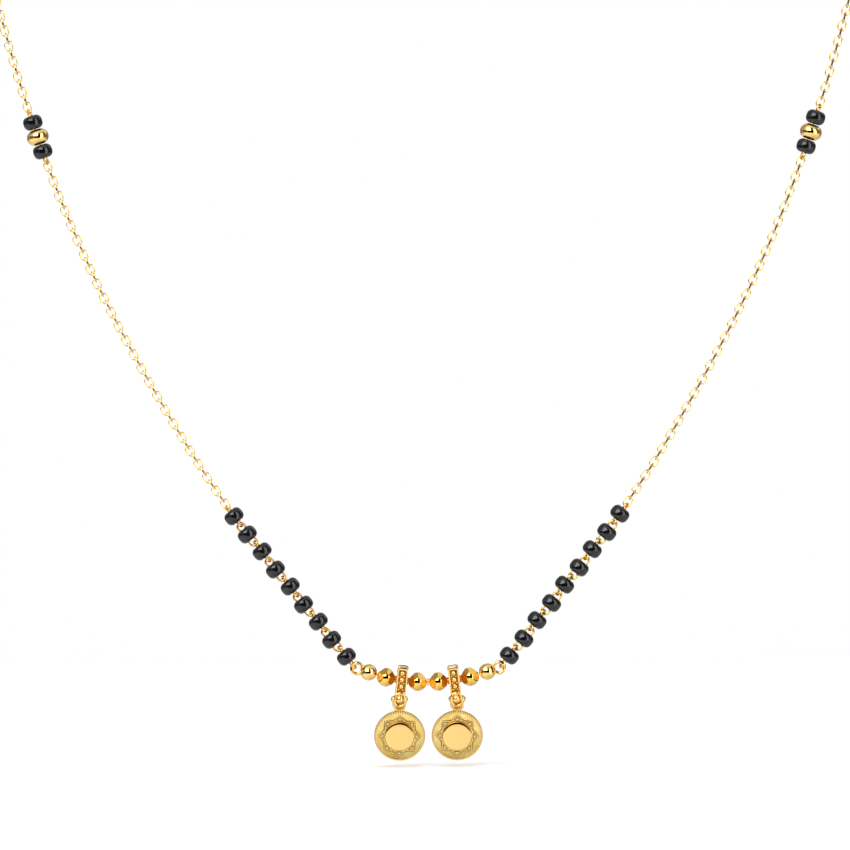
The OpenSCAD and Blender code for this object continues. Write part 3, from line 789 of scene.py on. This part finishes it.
reeds, notch, steps_a_reed = 64, 0.11, 6
ring_in, field_in, boss_out, boss_in = 3.0, 2.06, 1.96, 1.86
disc = bmesh.new()
lathe(disc, [(0, 0), (3.2, 0), (3.35, 0.08), (3.35, 0.64), (3.29, 0.72), (3.04, 0.73), (ring_in, 0.72),
             (2.98, 0.67), (field_in, 0.56), (boss_out, 0.56), (1.95, 0.96), (1.92, 1.0), (1.85, 1.035),
             (1.6, 1.057), (1.3, 1.073), (1.0, 1.084), (0.7, 1.093), (0.35, 1.098), (0, 1.1)],
      reeds * steps_a_reed)
for vert in disc.verts:
    out = math.hypot(vert.co.x, vert.co.y)
    if out > 3.25:
        turn = math.atan2(vert.co.y, vert.co.x)
        cut = notch / 2 * (1 - math.cos(reeds * turn))
        bmesh.ops.scale(disc, vec=(1 - cut / out, 1 - cut / out, 1), verts=[vert])
disc_shape = as_shape(disc, "disc_shape", 30)


def raised(bm, foot, low, outline, high, finish):
    """A low plate with a flat top and a sloping wall in painted shade."""
    lower = [bm.verts.new((x, y, low)) for x, y in foot]
    upper = [bm.verts.new((x, y, high)) for x, y in outline]
    for j in range(len(lower)):
        bm.faces.new((lower[j - 1], lower[j], upper[j], upper[j - 1])).material_index = 2
    bm.faces.new(upper).material_index = finish
    bm.faces.new(lower[::-1])


def star(side_out):
    """The outline of two squares laid over each other, whose sides lie this far out."""
    points = []
    for k in range(16):
        turn = math.radians(90 - 22.5 * k)
        out = side_out / math.cos(math.radians(22.5 if k % 2 else 45))
        points.append((out * math.cos(turn), out * math.sin(turn)))
    return points


def tip(apex, base):
    """A small square-cornered triangle near the top of the field."""
    return [(base - apex, base), (0, apex), (apex - base, base)]


sun = bmesh.new()
raised(sun, star(2.12), 0.56, star(1.95), 0.69, 1)
sun_shape = as_shape(sun, "sun_shape", 20)
ray = bmesh.new()
raised(ray, tip(2.6, 2.08), 0.68, tip(2.44, 2.16), 0.8, 0)
ray_shape = as_shape(ray, "ray_shape", 20)

stirrup = bmesh.new()
wire_ring = bmesh.ops.create_circle(stirrup, segments=16, radius=0.18, matrix=at(-0.72, 0, 0))
loop_edges = list({edge for vert in wire_ring["verts"] for edge in vert.link_edges})


def grow(bm, edges, up):
    """Extrudes an open end by a length, up or down, and gives its new edges and corners."""
    new = bmesh.ops.extrude_edge_only(bm, edges=edges)["geom"]
    verts = kind_of(new, bmesh.types.BMVert)
    bmesh.ops.translate(bm, vec=(0, 0, up), verts=verts)
    return kind_of(new, bmesh.types.BMEdge), verts


leg_edges, leg_verts = grow(stirrup, loop_edges, -stirrup_bend)
bent = bmesh.ops.spin(stirrup, geom=leg_edges + leg_verts, cent=(0, 0, -stirrup_bend), axis=(0, -1, 0),
                      angle=math.pi, steps=24)
grow(stirrup, kind_of(bent["geom_last"], bmesh.types.BMEdge), stirrup_bend)
for face in stirrup.faces:
    face.material_index = 1
stirrup_shape = as_shape(stirrup, "stirrup")
web_thick = 0.2
web = cut_plate(bmesh.new(), 0.6, stirrup_bend, web_thick, -1.1, 1)
thicken(web, web_thick)
# The web behind the stirrup is in painted shade.
for face in web.faces:
    face.material_index = 3
web_shape = as_shape(web, "web")
pin_half, pin_end_r, pin_corner, pin_r = 1.11, 0.48, 0.42, 0.22
section = [(0, pin_half)] + shoulder(pin_end_r, pin_half, pin_corner, 8)
section += [(pin_end_r, 0.6), (pin_end_r - 0.03, 0.57), (pin_r, 0.57)]
section += [(r, -z) for r, z in reversed(section)]
pin = bmesh.new()
lathe(pin, section, 32)
for face in pin.faces:
    face.material_index = 1
pin_shape = as_shape(pin, "pin_and_barrels")

pendant_lean, disc_back, disc_below, disc_turn = 12, 0.32, 4.85, 1.5
pendant_frame = front @ Matrix.Translation(pin_at) @ about("X", pendant_lean)
face_up = at(0, disc_back, -disc_below) @ about("X", 90)
for side_name, side in sides.items():
    bm = bmesh.new()
    hung = over_to(side) @ pendant_frame
    set_in(bm, disc_shape, hung @ face_up)
    to_disc = (hung @ face_up).inverted()
    # Painted shade: the dark lines between the teeth, and the brown painted shade on the boss's wall.
    for face in bm.faces:
        middle = to_disc @ face.calc_center_median()
        out = math.hypot(middle.x, middle.y)
        if out > ring_in + 0.03 and math.cos(reeds * math.atan2(middle.y, middle.x)) < -0.1:
            face.material_index = 2  # between the teeth
        elif boss_out + 0.01 < out < ring_in - 0.01 and middle.z > 0.5:
            face.material_index = 1  # the field
        elif boss_in < out < boss_out + 0.01:
            face.material_index = 3  # the boss's wall
    for k in range(9):
        turned = about("Z", 45 * k - disc_turn * side)
        set_in(bm, ray_shape if k < 8 else sun_shape, hung @ face_up @ turned)
    set_in(bm, web_shape, hung)
    set_in(bm, stirrup_shape, hung)
    set_in(bm, pin_shape, hung @ about("Y", 90))
    new_piece(f"sun_medallion_{side_name}", bm, [polished_gold, blasted_gold, painted_shade_lines_gold, painted_shade_gold],
              "gold", f"pendant_{side_name}", f"pendant_{side_name}")
